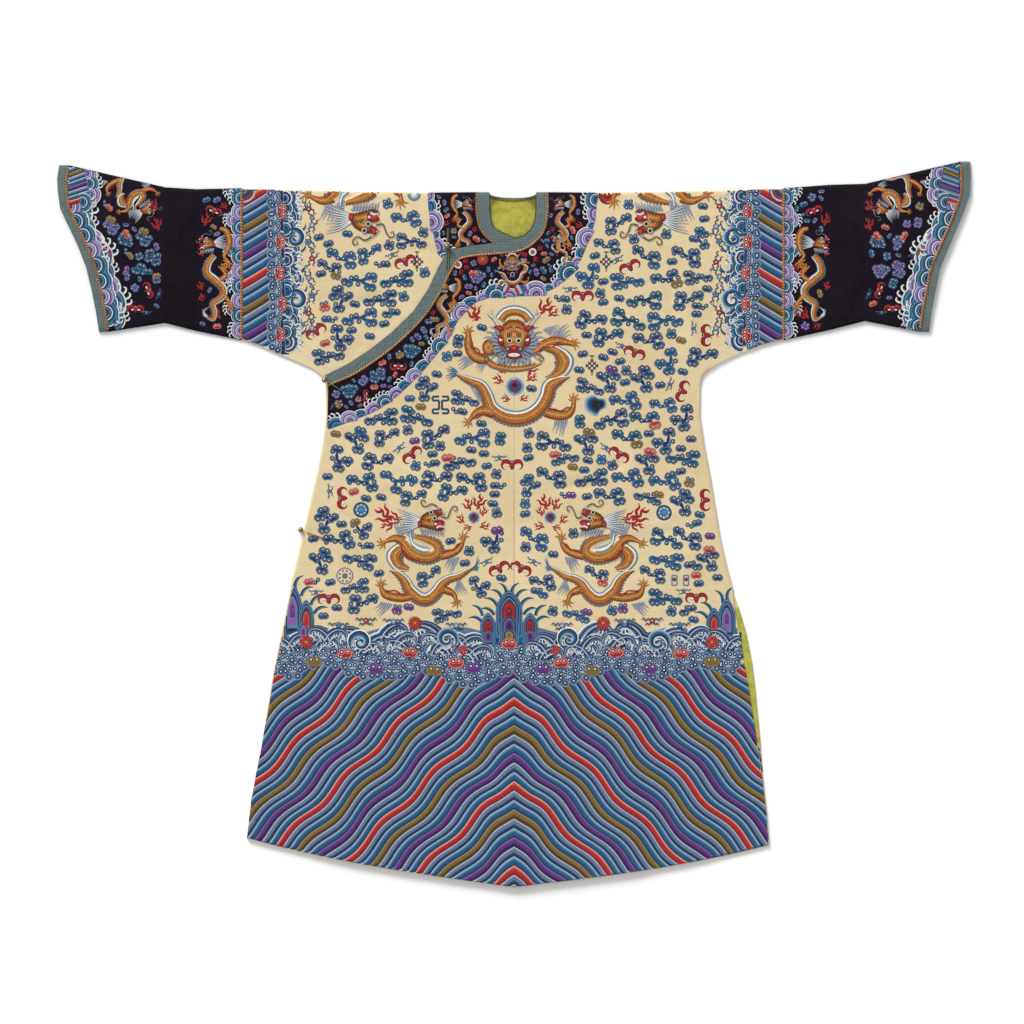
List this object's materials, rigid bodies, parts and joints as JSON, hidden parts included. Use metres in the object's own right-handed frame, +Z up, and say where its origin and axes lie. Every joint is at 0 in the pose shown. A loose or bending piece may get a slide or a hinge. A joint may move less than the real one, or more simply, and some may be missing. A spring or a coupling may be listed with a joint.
{
  "type": "chinese dragon robe laid flat",
  "caption": "Embroidered silk dragon robe lying flat on its back, with spread sleeves, flared cuffs, a dark neck yoke and a side-closing front flap.",
  "frame": {"origin": "centre of the overall bounding box, at the surface that the back lies on", "axes": "+X to the wearer's left, +Y from the hem to the shoulders, +Z up, out of the front"},
  "size_m": [1.864, 1.481, 0.0215],
  "materials": {
    "cream_satin": "cream silk satin",
    "night_satin": "aubergine-black silk satin",
    "plain_satin": "plain dark silk satin",
    "teal_brocade": "grey-teal brocade with a fine fret weave",
    "green_lining": "yellow-green silk lining",
    "brass": "worn brass",
    "green_cord": "dark green-brown silk cord",
    "blue_silk": "satin stitch in blues, reds, purple, olive and white floss",
    "gold_thread": "couched gold-wrapped thread"
  },
  "bodies": {
    "root": {"body_right": "cream_satin", "body_left": "cream_satin", "front_flap": "cream_satin", "underlap": "cream_satin", "yoke_right": "night_satin", "yoke_left": "night_satin", "neck_edging_right": "teal_brocade", "neck_edging_left": "teal_brocade", "flap_edging": "teal_brocade", "sleeve_band_right": "night_satin", "sleeve_band_left": "night_satin", "sleeve_plain_right": "plain_satin", "sleeve_plain_left": "plain_satin", "cuff_right": "night_satin", "cuff_left": "night_satin", "cuff_edging_right": "teal_brocade", "cuff_edging_left": "teal_brocade", "neck_lining": "green_lining", "slit_lining_left": "green_lining", "button_neck": "brass", "button_chest": "brass", "button_side": "brass", "loop_neck": "green_cord", "loop_chest": "green_cord", "loop_side": "green_cord"}
  },
  "joints": []
}
